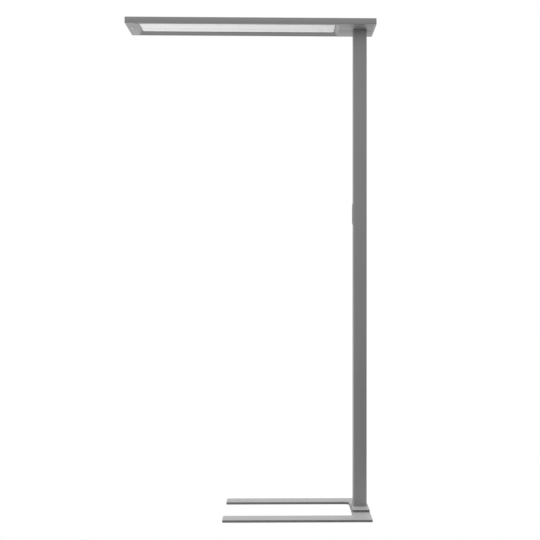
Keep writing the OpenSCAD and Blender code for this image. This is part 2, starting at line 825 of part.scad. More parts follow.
module top_cover() {
    edge = rail_wall + 0.2;
    color([0.66, 0.66, 0.66]) difference() {
        translate([head_x0 + edge, -head_y + edge, top_z])
            cube([head_l - 2 * edge, head_d - 2 * edge, flange_t]);
        translate([window_x0, -window_d / 2, top_z - 1]) cube([window_l, window_d, flange_t + 2]);
        top_screw_places() translate([0, 0, top_z - 1]) {
            cylinder(r = top_screw_r + 0.1, h = flange_t + 2);
            translate([0, 0, 1 + top_head_z]) cylinder(r = top_head_r + 0.1, h = 3);
        }
    }
}

module top_screws() {
    color([0.5, 0.5, 0.5]) top_screw_places() translate([0, 0, top_z]) difference() {
        union() {
            translate([0, 0, top_head_z]) cylinder(r = top_head_r, h = 1);
            translate([0, 0, -upper_pane_t]) cylinder(r = top_screw_r, h = upper_pane_t + top_head_z + eps);
        }
        translate([0, 0, top_head_z + 0.5]) cylinder(r = 0.8, h = 2, $fn = 6);
    }
}

// The plate that carries the head, and the hollow stub under it that stands in the pole
module head_bracket() {
    hw = pole_w / 2 - pole_wall - slip - stub_wall;
    hd = pole_d / 2 - pole_wall - slip - stub_wall;
    x1 = head_x1 - rail_wall - 0.5;
    color([0.7, 0.7, 0.7]) difference() {
        union() {
            translate([bracket_x0, -web_y, web_z]) cube([x1 - bracket_x0, web_y * 2, bracket_t]);
            stub_body(web_z - head_stub_h, web_z + eps);
        }
        translate([-hw, -hd, web_z - head_stub_h - 1]) cube([hw * 2, hd * 2, head_stub_h + 1 - 3]);
        translate([-slot_w / 2, -pole_d / 2, slot_z0]) cube([slot_w, pole_d, slot_h]);
        grub_holes(head_grub_z);
        bracket_screw_places() translate([0, 0, web_z - 1])
            cylinder(r = bracket_screw_r + 0.1, h = bracket_t + 2);
    }
}

module bracket_screw_places() {
    for (x = [bracket_x0 + 14, head_x1 - 28], s = [-1, 1])
        translate([x, s * (head_y - (web_reach + rail_wall) / 2), 0]) children();
}

module bracket_screws() {
    color([0.45, 0.45, 0.45]) bracket_screw_places() difference() {
        union() {
            translate([0, 0, web_z - web_t]) cylinder(r = bracket_screw_r, h = web_t + bracket_t + eps);
            translate([0, 0, web_z + bracket_t]) cylinder(r = bracket_screw_r * 1.7, h = 1.2);
        }
        translate([0, 0, web_z + bracket_t + 0.5]) cylinder(r = 1.2, h = 2, $fn = 6);
    }
}

module led_driver() {
    color([0.85, 0.85, 0.85]) translate([gear_x0, gear_y, lip_z + 0.3])
        cube([driver_l, gear_d, web_z - lip_z - 0.3]);
}

module dimmer_module() {
    color([0.2, 0.2, 0.2]) translate([gear_x0, -gear_y - gear_d, lip_z + 0.3])
        cube([dimmer_l, gear_d, web_z - lip_z - 0.3]);
}

module sensor_bezel() {
    neck_d = sensor_lens_d + 2.2;
    color([0.12, 0.12, 0.12]) translate([sensor_x, sensor_y, head_z0]) difference() {
        union() {
            translate([0, 0, -0.8]) cylinder(d = sensor_bezel_d, h = 0.8);
            translate([0, 0, -eps]) cylinder(d = neck_d, h = flange_t + lip_t);
        }
        translate([0, 0, -2]) cylinder(d = sensor_lens_d + 0.1, h = 8);
    }
}

// A shallow dome under a short barrel
module sensor_lens() {
    r = sensor_lens_d / 2;
    h = sensor_lens_h;
    barrel = 0.8 + flange_t + lip_t;
    sphere_r = (r * r + h * h) / (2 * h);
    color([0.97, 0.97, 0.97]) translate([sensor_x, sensor_y, lip_z - barrel]) {
        rotate_extrude() polygon(concat([[0, barrel], [0, -h]],
            [for (i = [1 : dome_steps]) let (a = i / dome_steps * asin(r / sphere_r))
                [sphere_r * sin(a), i == 1 ? -h : sphere_r - h - sphere_r * cos(a)]],
            [[r, barrel]]));
    }
}

module daylight_sensor() {
    color([0.93, 0.93, 0.93]) translate([daylight_x, daylight_y, head_z0]) {
        translate([0, 0, -0.6]) cylinder(d = daylight_d + 1.6, h = 0.6);
        translate([0, 0, -eps]) cylinder(d = daylight_d, h = flange_t + lip_t);
    }
}

module sensor_board() {
    color([0.1, 0.35, 0.2]) translate([head_x0 + rim_w + 1, sensor_y - sensor_board_front, lip_z])
        cube([sensor_plate_l - 3, sensor_board_d, led_board_t]);
}

// Flat lead from the sensor board, over the carrier plate, down to the dimmer module
module sensor_lead() {
    t = flat_lead_t;
    w = flat_lead_w;
    y = sensor_lead_y;
    up_x = frame_x0 - 1 - t;
    plug_in = 8;            // from the rising part back to the plug on the board
    down_x = bracket_x0 - carrier_end / 2 - t / 2;
    z_top = web_z + plate_t;
    z_low = lip_z + led_board_t;
    z_end = lip_z + 4;
    color([0.8, 0.8, 0.8]) {
        translate([up_x - plug_in, y, z_low]) cube([w, sensor_y - y, t]);
        translate([up_x - plug_in, y, z_low]) cube([plug_in + t, w, t]);
        translate([up_x, y, z_low]) cube([t, w, z_top + t - z_low]);
        translate([up_x, y, z_top]) cube([down_x + t - up_x, w, t]);
        translate([down_x, y, z_end]) cube([t, w, z_top + t - z_end]);
        translate([down_x, y, z_end]) cube([gear_x0 - down_x, w, t]);
    }
}

base_plate();
floor_pads();
foot_block();
foot_stub();
plate_screws();
stub_bolts();
pole();
foot_grub_screws();
head_grub_screws();
inlet_gland();
inlet_nut();
inner_lead();
control_panel();
panel_screws();
control_frame();
control_board();
control_lead();
button_up();
button_power();
button_down();
front_rail();
rear_rail();
left_rail();
right_rail();
corner_keys();
sensor_plate();
light_frame();
front_cover();
rear_cover();
mid_diffuser();
front_diffuser();
rear_diffuser();
light_guide();
reflector();
front_led_strip();
rear_led_strip();
carrier_plate();
upper_led_boards();
upper_diffuser();
top_cover();
top_screws();
head_bracket();
bracket_screws();
led_driver();
dimmer_module();
sensor_bezel();
sensor_lens();
daylight_sensor();
sensor_board();
sensor_lead();
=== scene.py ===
import json
import math
import bmesh
import bpy
from mathutils import Matrix, Vector


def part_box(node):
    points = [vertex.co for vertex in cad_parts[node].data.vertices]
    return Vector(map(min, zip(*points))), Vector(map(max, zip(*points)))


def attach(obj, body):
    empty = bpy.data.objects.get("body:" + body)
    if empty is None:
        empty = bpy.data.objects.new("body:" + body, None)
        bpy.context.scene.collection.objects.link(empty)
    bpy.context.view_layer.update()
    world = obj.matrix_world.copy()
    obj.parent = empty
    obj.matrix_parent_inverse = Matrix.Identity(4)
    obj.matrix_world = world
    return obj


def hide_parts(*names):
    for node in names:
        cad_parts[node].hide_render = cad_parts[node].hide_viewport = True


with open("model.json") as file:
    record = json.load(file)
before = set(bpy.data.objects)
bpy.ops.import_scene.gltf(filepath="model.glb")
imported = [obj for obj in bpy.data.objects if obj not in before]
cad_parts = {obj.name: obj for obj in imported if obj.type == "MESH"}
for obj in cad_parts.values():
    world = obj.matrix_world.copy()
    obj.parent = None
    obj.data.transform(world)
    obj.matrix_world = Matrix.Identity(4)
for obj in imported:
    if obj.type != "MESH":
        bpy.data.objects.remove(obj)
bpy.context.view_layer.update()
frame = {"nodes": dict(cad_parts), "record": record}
print("Lamp: frame loaded")

# alike: two directions count as one above this cosine; sharp: the least turn of a corner, in radians;
# near: places this close count as one; past: how far a cutting tool reaches beyond the piece;
# weld: vertices this close are merged
shop = dict(alike=0.9, sharp=1.2, near=0.00001, past=0.01, weld=0.000002)


def clearPicks():
    if bpy.context.mode != "OBJECT":
        bpy.ops.object.mode_set(mode="OBJECT")
    bpy.ops.object.select_all(action="DESELECT")


def hold(obj):
    clearPicks()
    obj.select_set(True)
    bpy.context.view_layer.objects.active = obj


def editOn(obj, mode="FACE"):
    hold(obj)
    bpy.ops.object.mode_set(mode="EDIT")
    bpy.ops.mesh.select_mode(type=mode)
    bpy.ops.mesh.select_all(action="DESELECT")


def editOff():
    bpy.ops.object.mode_set(mode="OBJECT")


def pickFaces(obj, test):  # in edit mode: faces whose middle and normal pass the test
    mesh = bmesh.from_edit_mesh(obj.data)
    mesh.normal_update()
    for face in mesh.faces:
        face.select_set(bool(test(face.calc_center_median(), face.normal)))
    bmesh.update_edit_mesh(obj.data)


def pickEdges(obj, test):  # in edit mode: edges whose middle, direction and turn pass the test
    mesh = bmesh.from_edit_mesh(obj.data)
    mesh.normal_update()
    for edge in mesh.edges:
        a, b = edge.verts
        along = (b.co - a.co).normalized()
        turn = edge.calc_face_angle(0.0) if len(edge.link_faces) == 2 else math.pi
        edge.select_set(bool(test((a.co + b.co) / 2, along, turn)))
    bmesh.update_edit_mesh(obj.data)


def cornersAlong(axis):  # a test for the sharp edges that run along an axis
    def test(middle, along, turn):
        return abs(getattr(along, axis)) > shop["alike"] and turn > shop["sharp"]
    return test


def rimsAt(axis, *levels):  # a test for the sharp edges that lie at these levels of an axis
    def test(middle, along, turn):
        place = getattr(middle, axis)
        return turn > shop["sharp"] and min(abs(place - level) for level in levels) < shop["near"]
    return test


def block(name, low, high):  # a box between two corners
    clearPicks()
    low, high = Vector(low), Vector(high)
    bpy.ops.mesh.primitive_cube_add(size=1, location=(low + high) / 2)
    obj = bpy.context.object
    obj.name = name
    obj.scale = high - low
    bpy.ops.object.transform_apply(location=True, rotation=True, scale=True)
    return obj


def rod(name, spot, axis, start, end, radius, sides=48):  # through the spot, from start to end of an axis
    clearPicks()
    turn = {"x": (0, math.pi / 2, 0), "y": (math.pi / 2, 0, 0), "z": (0, 0, 0)}[axis]
    middle = Vector(spot)
    setattr(middle, axis, (start + end) / 2)
    bpy.ops.mesh.primitive_cylinder_add(
        vertices=sides, radius=radius, depth=end - start, location=middle, rotation=turn)
    obj = bpy.context.object
    obj.name = name
    bpy.ops.object.transform_apply(location=True, rotation=True, scale=True)
    return obj


def roundEdges(obj, test, size, steps):
    editOn(obj, "EDGE")
    pickEdges(obj, test)
    bpy.ops.mesh.bevel(offset=size, segments=steps, affect="EDGES", clamp_overlap=True)
    editOff()


def softenAll(obj, size, steps=2, angle=40):  # a small round on every sharp edge
    hold(obj)
    edge = obj.modifiers.new("edge", "BEVEL")
    edge.width = size
    edge.segments = steps
    edge.limit_method = "ANGLE"
    edge.angle_limit = math.radians(angle)
    bpy.ops.object.modifier_apply(modifier="edge")


def thicken(obj, size):  # gives a sheet its wall, behind its faces
    hold(obj)
    wall = obj.modifiers.new("wall", "SOLIDIFY")
    wall.thickness = size
    wall.offset = -1
    wall.use_even_offset = True
    bpy.ops.object.modifier_apply(modifier="wall")


def cutAway(obj, tools):  # takes the tools' shapes out of the piece and drops the tools
    for tool in tools:
        hold(obj)
        cut = obj.modifiers.new("cut", "BOOLEAN")
        cut.operation = "DIFFERENCE"
        cut.solver = "EXACT"
        cut.object = tool
        bpy.ops.object.modifier_apply(modifier="cut")
        bpy.data.objects.remove(tool, do_unlink=True)


def cutByPlane(obj, place, normal, **settings):  # bisects the whole piece by a plane
    editOn(obj)
    bpy.ops.mesh.select_all(action="SELECT")
    bpy.ops.mesh.bisect(plane_co=place, plane_no=normal, **settings)
    editOff()


def joinPieces(name, parts):
    clearPicks()
    for part in parts:
        part.select_set(True)
    bpy.context.view_layer.objects.active = parts[0]
    if len(parts) > 1:
        bpy.ops.object.join()
    parts[0].name = name
    return parts[0]


def copyOf(obj, name, move=(0, 0, 0)):  # a copy with its own mesh, moved within its mesh
    twin = obj.copy()
    twin.data = obj.data.copy()
    twin.name = name
    bpy.context.collection.objects.link(twin)
    twin.data.transform(Matrix.Translation(Vector(move)))
    return twin


def finishPiece(obj, coats, body="lamp", instead=(), angle=35):
    editOn(obj, "VERT")
    bpy.ops.mesh.select_all(action="SELECT")
    bpy.ops.mesh.remove_doubles(threshold=shop["weld"])
    bpy.ops.mesh.normals_make_consistent(inside=False)
    editOff()
    bpy.ops.object.shade_smooth_by_angle(angle=math.radians(angle))
    obj.data.materials.clear()
    for coat in coats:
        obj.data.materials.append(finish[coat])
    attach(obj, body)
    if instead:
        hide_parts(*instead)


def solidMiddles(node):  # the middles of the separate solids in a node
    mesh = bmesh.new()
    mesh.from_mesh(frame["nodes"][node].data)
    bmesh.ops.remove_doubles(mesh, verts=mesh.verts, dist=shop["near"])
    left = set(mesh.verts)
    spots = []
    while left:
        queue = [left.pop()]
        group = []
        while queue:
            vert = queue.pop()
            group.append(vert.co.copy())
            for edge in vert.link_edges:
                other = edge.other_vert(vert)
                if other in left:
                    left.discard(other)
                    queue.append(other)
        spans = [[point[k] for point in group] for k in range(3)]
        spots.append(Vector([(min(span) + max(span)) / 2 for span in spans]))
    mesh.free()
    return sorted(spots, key=lambda p: (round(p.x, 5), round(p.y, 5), round(p.z, 5)))


def grey(tone):
    return (tone, tone, tone)


# rough: the gloss changes between these two; vary: how far the tone strays; patch and grain: how fine
# the soft patches and the surface's grain are; stretch: the grain's scale along each axis
finishes = {
    "anodised": dict(colour=grey(0.262), metallic=0.7, rough=(0.38, 0.48), vary=0.035,
                     patch=3.0, grain=2600.0, stretch=(0.05, 1, 1), bump=0.012),
    "anodisedUpright": dict(colour=grey(0.262), metallic=0.7, rough=(0.40, 0.50), vary=0.035,
                            patch=3.0, grain=2600.0, stretch=(1, 1, 0.05), bump=0.012),
    "silverSheet": dict(colour=grey(0.345), metallic=0.7, rough=(0.40, 0.50), vary=0.035,
                        patch=4.0, grain=2200.0, stretch=(1, 1, 1), bump=0.015),
    # lit and shaded copies of the light frame's sheet: the long bevels darker (painted shade), the short
    # bevels lighter (painted light)
    "shadedBevelSheet": dict(colour=grey(0.230), metallic=1.0, rough=(0.30, 0.40), vary=0.035,
                       patch=3.0, grain=2600.0, stretch=(0.05, 1, 1), bump=0.012),
    "litBevelSheet": dict(colour=grey(0.325), metallic=1.0, rough=(0.34, 0.44), vary=0.035,
                       patch=4.0, grain=2200.0, stretch=(1, 1, 1), bump=0.015),
    # painted shade: the covers at the head's right end take a darker copy of the head's sheet, as that
    # end is less lit
    "shadedCoverSheet": dict(colour=grey(0.285), metallic=0.5, rough=(0.45, 0.55), vary=0.035,
                       patch=4.0, grain=2200.0, stretch=(1, 1, 1), bump=0.015),
    "powderCoat": dict(colour=grey(0.382), metallic=0.0, rough=(0.48, 0.58), vary=0.025,
                       patch=6.0, grain=2400.0, stretch=(1, 1, 1), bump=0.03),
    # painted shade: the dark tone given to the upright sides of the floor plate and the foot block
    "uprightShade": dict(colour=grey(0.105), metallic=0.0, rough=(0.5, 0.62), vary=0.10,
                      patch=12.0, grain=1100.0, stretch=(0.2, 0.2, 1), bump=0.05),
    "innerMetal": dict(colour=(0.50, 0.50, 0.51), metallic=1.0, rough=(0.38, 0.5), vary=0.05,
                       patch=9.0, grain=1200.0, stretch=(0.1, 1, 1), bump=0.02),
    "zinc": dict(colour=(0.47, 0.48, 0.50), metallic=1.0, rough=(0.28, 0.42), vary=0.08,
                 patch=90.0, grain=2400.0, stretch=(1, 1, 1), bump=0.02),
    "blackSteel": dict(colour=(0.035, 0.035, 0.037), metallic=0.9, rough=(0.35, 0.5), vary=0.15,
                       patch=120.0, grain=3000.0, stretch=(1, 1, 1), bump=0.03),
    "rubber": dict(colour=grey(0.022), metallic=0.0, rough=(0.75, 0.9), vary=0.2,
                   patch=60.0, grain=2200.0, stretch=(1, 1, 1), bump=0.08),
    "greyRubber": dict(colour=grey(0.06), metallic=0.0, rough=(0.7, 0.85), vary=0.1,
                       patch=60.0, grain=2200.0, stretch=(1, 1, 1), bump=0.06),
    "darkPlastic": dict(colour=(0.140, 0.140, 0.142), metallic=0.0, rough=(0.42, 0.55), vary=0.08,
                        patch=40.0, grain=3200.0, stretch=(1, 1, 1), bump=0.05),
    "smokedPlastic": dict(colour=grey(0.33), metallic=0.0, rough=(0.30, 0.42), vary=0.05,
                          patch=40.0, grain=3200.0, stretch=(1, 1, 1), bump=0.04),
    "blackPlastic": dict(colour=(0.028, 0.028, 0.029), metallic=0.0, rough=(0.42, 0.55), vary=0.12,
                         patch=40.0, grain=3200.0, stretch=(1, 1, 1), bump=0.05),
    "greyPlastic": dict(colour=(0.20, 0.20, 0.202), metallic=0.0, rough=(0.40, 0.5), vary=0.05,
                        patch=50.0, grain=3600.0, stretch=(1, 1, 1), bump=0.03),
    "whitePlastic": dict(colour=(0.72, 0.72, 0.715), metallic=0.0, rough=(0.32, 0.42), vary=0.03,
                         patch=70.0, grain=3400.0, stretch=(1, 1, 1), bump=0.02),
    # painted shade: the top pane takes a darker copy of the opal, against the strong light from above
    "shadedUpperOpal": dict(colour=(0.80, 0.80, 0.805), metallic=0.0, rough=(0.35, 0.45), vary=0.012,
                      patch=20.0, grain=1600.0, stretch=(1, 1, 1), bump=0.03),
    "opal": dict(colour=(0.925, 0.925, 0.93), metallic=0.0, rough=(0.30, 0.40), vary=0.012,
                 patch=5.0, grain=2200.0, stretch=(1, 1, 1), bump=0.01),
    "reflectorWhite": dict(colour=grey(0.84), metallic=0.0, rough=(0.55, 0.65), vary=0.02,
                           patch=9.0, grain=1500.0, stretch=(1, 1, 1), bump=0.02),
    "boardGreen": dict(colour=(0.020, 0.110, 0.055), metallic=0.0, rough=(0.25, 0.4), vary=0.2,
                       patch=150.0, grain=900.0, stretch=(1, 1, 1), bump=0.04),
    "boardWhite": dict(colour=(0.78, 0.78, 0.755), metallic=0.0, rough=(0.3, 0.42), vary=0.04,
                       patch=120.0, grain=900.0, stretch=(1, 1, 1), bump=0.03),
    "sheath": dict(colour=grey(0.52), metallic=0.0, rough=(0.48, 0.6), vary=0.06,
                   patch=80.0, grain=1800.0, stretch=(1, 1, 0.2), bump=0.03),
    "symbol": dict(colour=(0.10, 0.10, 0.105), metallic=0.0, rough=(0.4, 0.5), vary=0.08,
                   patch=200.0, grain=3000.0, stretch=(1, 1, 1), bump=0.02),
}
surfaceLook = dict(patchDetail=3.0, patchRough=0.55, grainDetail=2.0, grainRough=0.6,
                   toneSpan=(0.35, 0.65), glossSpan=(0.3, 0.7), reliefDepth=0.0006)


def addNode(tree, kind, **values):
    node = tree.nodes.new(kind)
    for key, value in values.items():
        if key in node.inputs:
            node.inputs[key].default_value = value
        else:
            setattr(node, key, value)
    return node


def feed(tree, places, values):  # puts a number or another node's output into each socket
    for place, value in zip(places, values):
        if isinstance(value, float):
            place.default_value = value
        else:
            tree.links.new(value, place)


def mathNode(tree, operation, *values):
    node = addNode(tree, "ShaderNodeMath", operation=operation)
    feed(tree, node.inputs, values)
    return node.outputs[0]


def blend(tree, share, a, b):
    node = addNode(tree, "ShaderNodeMix", data_type="FLOAT")
    feed(tree, (node.inputs["Factor"], node.inputs[2], node.inputs[3]), (share, a, b))
    return node.outputs[0]


def mapped(tree, source, span, values, curve="LINEAR"):  # turns the span into the two values
    node = addNode(tree, "ShaderNodeMapRange", interpolation_type=curve)
    for key, value in zip(("From Min", "From Max", "To Min", "To Max"), (*span, *values)):
        node.inputs[key].default_value = value
    tree.links.new(source, node.inputs["Value"])
    return node.outputs["Result"]


def newMaterial(name):  # comes with its tree, its shader and the piece's own coordinates
    material = bpy.data.materials.new(name)
    material.use_nodes = True
    tree = material.node_tree
    place = addNode(tree, "ShaderNodeTexCoord").outputs["Object"]
    return material, tree, tree.nodes["Principled BSDF"], place


def raiseRelief(tree, shader, height, strength, depth):
    relief = addNode(tree, "ShaderNodeBump", Strength=strength, Distance=depth)
    tree.links.new(height, relief.inputs["Height"])
    tree.links.new(relief.outputs["Normal"], shader.inputs["Normal"])


def surface(name):  # soft patches of tone, and a fine grain in the gloss and the relief
    look = finishes[name]
    material, tree, shader, place = newMaterial(name)
    link = tree.links.new
    shader.inputs["Metallic"].default_value = look["metallic"]
    patches = addNode(tree, "ShaderNodeTexNoise", Scale=look["patch"],
                      Detail=surfaceLook["patchDetail"], Roughness=surfaceLook["patchRough"])
    link(place, patches.inputs["Vector"])
    stretch = addNode(tree, "ShaderNodeMapping", Scale=look["stretch"])
    link(place, stretch.inputs["Vector"])
    grain = addNode(tree, "ShaderNodeTexNoise", Scale=look["grain"],
                    Detail=surfaceLook["grainDetail"], Roughness=surfaceLook["grainRough"])
    link(stretch.outputs["Vector"], grain.inputs["Vector"])

    both = mathNode(tree, "ADD", patches.outputs["Fac"], grain.outputs["Fac"])
    ramp = addNode(tree, "ShaderNodeValToRGB")
    low, high = ramp.color_ramp.elements
    low.position, high.position = surfaceLook["toneSpan"]
    low.color = (*[c * (1 - look["vary"]) for c in look["colour"]], 1)
    high.color = (*[min(1.0, c * (1 + look["vary"])) for c in look["colour"]], 1)
    link(mathNode(tree, "MULTIPLY", both, 0.5), ramp.inputs["Fac"])
    link(ramp.outputs["Color"], shader.inputs["Base Color"])

    gloss = mapped(tree, grain.outputs["Fac"], surfaceLook["glossSpan"], look["rough"])
    link(gloss, shader.inputs["Roughness"])
    raiseRelief(tree, shader, grain.outputs["Fac"], look["bump"], surfaceLook["reliefDepth"])
    return material


prismLook = dict(colour=(0.90, 0.90, 0.905), shade=0.95, rough=0.40,
                 pitch=0.0022, bump=0.12, depth=0.0004)
waveScale = 2 * math.pi / 20  # a wave texture of this scale has one band in each unit


def prismSurface():  # a white pane with a fine square lattice of tiny lenses
    material, tree, shader, place = newMaterial("prismPane")
    link = tree.links.new
    shader.inputs["Roughness"].default_value = prismLook["rough"]
    rows = []
    for direction in ("X", "Y"):
        wave = addNode(tree, "ShaderNodeTexWave", Scale=waveScale / prismLook["pitch"])
        wave.wave_type = "BANDS"
        wave.bands_direction = direction
        link(place, wave.inputs["Vector"])
        rows.append(wave.outputs["Fac"])
    lattice = mathNode(tree, "MULTIPLY", *rows)
    # the lattice's grooves are darkened: painted shade between the tiny lenses
    ramp = addNode(tree, "ShaderNodeValToRGB")
    ramp.color_ramp.elements[0].color = (*[c * prismLook["shade"] for c in prismLook["colour"]], 1)
    ramp.color_ramp.elements[1].color = (*prismLook["colour"], 1)
    link(lattice, ramp.inputs["Fac"])
    link(ramp.outputs["Color"], shader.inputs["Base Color"])
    raiseRelief(tree, shader, lattice, prismLook["bump"], prismLook["depth"])
    return material


acrylicLook = dict(colour=(0.86, 0.90, 0.92), clear=0.6, bend=1.49, rough=(0.072, 0.168),
                   scale=40.0, detail=2.0)


def acrylicSurface():
    material, tree, shader, place = newMaterial("clearAcrylic")
    shader.inputs["Transmission Weight"].default_value = acrylicLook["clear"]
    shader.inputs["IOR"].default_value = acrylicLook["bend"]
    shader.inputs["Base Color"].default_value = (*acrylicLook["colour"], 1)
    haze = addNode(tree, "ShaderNodeTexNoise", Scale=acrylicLook["scale"], Detail=acrylicLook["detail"])
    tree.links.new(place, haze.inputs["Vector"])
    gloss = mapped(tree, haze.outputs["Fac"], (0.0, 1.0), acrylicLook["rough"])
    tree.links.new(gloss, shader.inputs["Roughness"])
    return material


finish = {name: surface(name) for name in finishes}
finish["prism"] = prismSurface()
finish["acrylic"] = acrylicSurface()
print("Lamp: finishes made")

slotFinish = {
    "steel_paint": "powderCoat", "anodised": "anodised", "inner_aluminium": "innerMetal",
    "zinc_steel": "zinc", "dark_steel": "blackSteel", "black_rubber": "rubber",
    "black_plastic": "blackPlastic", "grey_plastic": "greyPlastic", "white_plastic": "whitePlastic",
    "opal": "opal", "prismatic": "prism", "clear_acrylic": "acrylic",
    "circuit_board": "boardGreen", "white_board": "boardWhite", "lead_sheath": "sheath",
}
nodeFinish = {"reflector": "reflectorWhite"}


def dressFrame():  # every CAD node gets its own finish or that of its record slot
    for part in frame["record"]["subparts"]:
        obj = frame["nodes"][part["node"]]
        chosen = finish[nodeFinish.get(part["node"], slotFinish[part["material_slot"]])]
        if not obj.data.materials:
            obj.data.materials.append(chosen)
        for place in obj.material_slots:
            place.material = chosen


dressFrame()

plate = dict(armWidth=0.069, crossWidth=0.070, cornerRound=0.005, innerRound=0.016,
             edgeRound=0.0009, cornerSteps=8, innerSteps=14, edgeSteps=3, upright=0.35,
             screwBore=0.0051, screwDepth=0.003, boltBore=0.0056, boltDepth=0.0045)


def shadeUprights(obj):  # the upright sides get a dark copy of the coat: painted shade for the faces near the floor
    for face in obj.data.polygons:
        face.material_index = 1 if abs(face.normal.z) < plate["upright"] else 0


def makeFloorPlate():
    low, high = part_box("base_plate")
    innerX = high.x - plate["crossWidth"]
    frontY, rearY = low.y + plate["armWidth"], high.y - plate["armWidth"]
    obj = block("floorPlate", (innerX, low.y, low.z), high)
    for level in (frontY, rearY):
        cutByPlane(obj, (0, level, 0), (0, 1, 0))
    editOn(obj)
    pickFaces(obj, lambda c, n: n.x < -shop["alike"] and (c.y < frontY or c.y > rearY))
    bpy.ops.mesh.extrude_region_move(TRANSFORM_OT_translate={"value": (low.x - innerX, 0, 0)})
    editOff()

    def innerCorner(middle, along, turn):
        aside = min(abs(middle.y - frontY), abs(middle.y - rearY))
        away = max(abs(middle.x - innerX), aside)
        return abs(along.z) > shop["alike"] and away < shop["near"]

    roundEdges(obj, innerCorner, plate["innerRound"], plate["innerSteps"])
    roundEdges(obj, cornersAlong("z"), plate["cornerRound"], plate["cornerSteps"])
    roundEdges(obj, rimsAt("z", high.z), plate["edgeRound"], plate["edgeSteps"])
    tools = []
    for node, radius, depth in (("plate_screws", plate["screwBore"], plate["screwDepth"]),
                                ("stub_bolts", plate["boltBore"], plate["boltDepth"])):
        for spot in solidMiddles(node):
            tools.append(rod("bore", spot, "z", low.z - shop["past"], low.z + depth, radius))
    cutAway(obj, tools)
    finishPiece(obj, ["powderCoat", "uprightShade"], instead=["base_plate"])
    shadeUprights(obj)


makeFloorPlate()

padLook = dict(round=0.0004, steps=2, sides=64, poleReach=0.01, poleRadius=0.017, radius=0.011)


def makePads():  # the pad under the pole is the wide one
    low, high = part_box("floor_pads")
    parts = []
    for spot in solidMiddles("floor_pads"):
        radius = padLook["poleRadius"] if spot.xy.length < padLook["poleReach"] else padLook["radius"]
        pad = rod("pad", spot, "z", low.z, high.z, radius, padLook["sides"])
        roundEdges(pad, rimsAt("z", low.z), padLook["round"], padLook["steps"])
        parts.append(pad)
    finishPiece(joinPieces("floorPads", parts), ["rubber"], instead=["floor_pads"])


makePads()

footLook = dict(cornerRound=0.0016, cornerSteps=5, edgeRound=0.0010, edgeSteps=3)


def makeFootBlock():
    low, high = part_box("foot_block")
    obj = block("footBlock", low, high)
    roundEdges(obj, cornersAlong("z"), footLook["cornerRound"], footLook["cornerSteps"])
    roundEdges(obj, rimsAt("z", high.z), footLook["edgeRound"], footLook["edgeSteps"])
    finishPiece(obj, ["powderCoat", "uprightShade"], instead=["foot_block"])
    shadeUprights(obj)


makeFootBlock()
print("Lamp: floor plate and foot made")

poleLook = dict(cornerRound=0.004, steps=8, wall=0.0025, grubRadius=0.0026, inletRadius=0.0061,
                boreDepth=0.006, windowHalf=(0.008, 0.031), windowDepth=0.004)


def makePole():
    low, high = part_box("pole")
    obj = block("poleTube", low, high)
    roundEdges(obj, cornersAlong("z"), poleLook["cornerRound"], poleLook["steps"])
    editOn(obj)
    pickFaces(obj, lambda c, n: abs(n.z) > shop["alike"])
    bpy.ops.mesh.delete(type="FACE")
    editOff()
    thicken(obj, poleLook["wall"])
    bores = [(poleLook["grubRadius"], spot.z)
             for node in ("foot_grub_screws", "head_grub_screws") for spot in solidMiddles(node)]
    inletLow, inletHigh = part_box("inlet_gland")
    bores.append((poleLook["inletRadius"], (inletLow.z + inletHigh.z) / 2))
    past = shop["past"]
    tools = [rod("bore", (0, 0, level), "y", high.y - poleLook["boreDepth"], high.y + past, radius)
             for radius, level in bores]
    panelLow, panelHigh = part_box("control_panel")
    panelZ = (panelLow.z + panelHigh.z) / 2
    halfWidth, halfHeight = poleLook["windowHalf"]
    tools.append(block("window", (low.x - past, -halfWidth, panelZ - halfHeight),
                       (low.x + poleLook["windowDepth"], halfWidth, panelZ + halfHeight)))
    cutAway(obj, tools)
    finishPiece(obj, ["anodisedUpright"], instead=["pole"])


makePole()

glandLook = dict(flats=6, collar=0.003, round=0.0006, ribSides=32, ribDepth=0.0005, ribEdge=0.0003,
                 capShares=(0.92, 0.68), threadRadius=0.006, threadSides=40, bore=0.0037)


def makeGland():
    low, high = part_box("inlet_gland")
    spot = Vector((0, 0, (low.z + high.z) / 2))
    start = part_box("pole")[1].y
    radius = (high.x - low.x) / 2
    collarEnd = start + glandLook["collar"]
    collar = rod("collar", spot, "y", start, collarEnd, radius, glandLook["flats"])
    softenAll(collar, glandLook["round"])
    clearPicks()
    wide, narrow = [radius * share for share in glandLook["capShares"]]
    bpy.ops.mesh.primitive_cone_add(
        vertices=glandLook["ribSides"], radius1=wide, radius2=narrow, depth=high.y - collarEnd,
        location=(0, (collarEnd + high.y) / 2, spot.z), rotation=(-math.pi / 2, 0, 0))
    cap = bpy.context.object
    bpy.ops.object.transform_apply(location=True, rotation=True, scale=True)
    editOn(cap)
    step = 2 * math.pi / glandLook["ribSides"]

    def everyOther(c, n):
        turn = math.atan2(c.z - spot.z, c.x) % (2 * math.pi)
        return abs(n.y) < shop["alike"] and int(turn / step) % 2 == 0

    pickFaces(cap, everyOther)
    bpy.ops.mesh.inset(
        thickness=glandLook["ribEdge"], depth=-glandLook["ribDepth"], use_individual=True)
    editOff()
    thread = rod("thread", spot, "y", low.y, start, glandLook["threadRadius"], glandLook["threadSides"])
    parts = [cap, collar, thread]
    past = shop["past"]
    for part in parts:
        cutAway(part, [rod("bore", spot, "y", low.y - past, high.y + past, glandLook["bore"])])
    finishPiece(joinPieces("cordInlet", parts), ["blackPlastic"], instead=["inlet_gland"])


makeGland()
print("Lamp: pole made")

headLook = dict(cornerRound=0.004, cornerSteps=8, edgeRound=0.0007, edgeSteps=3, rim=0.008,
                wall=0.0025, flange=0.0018, mitreGap=0.00006)
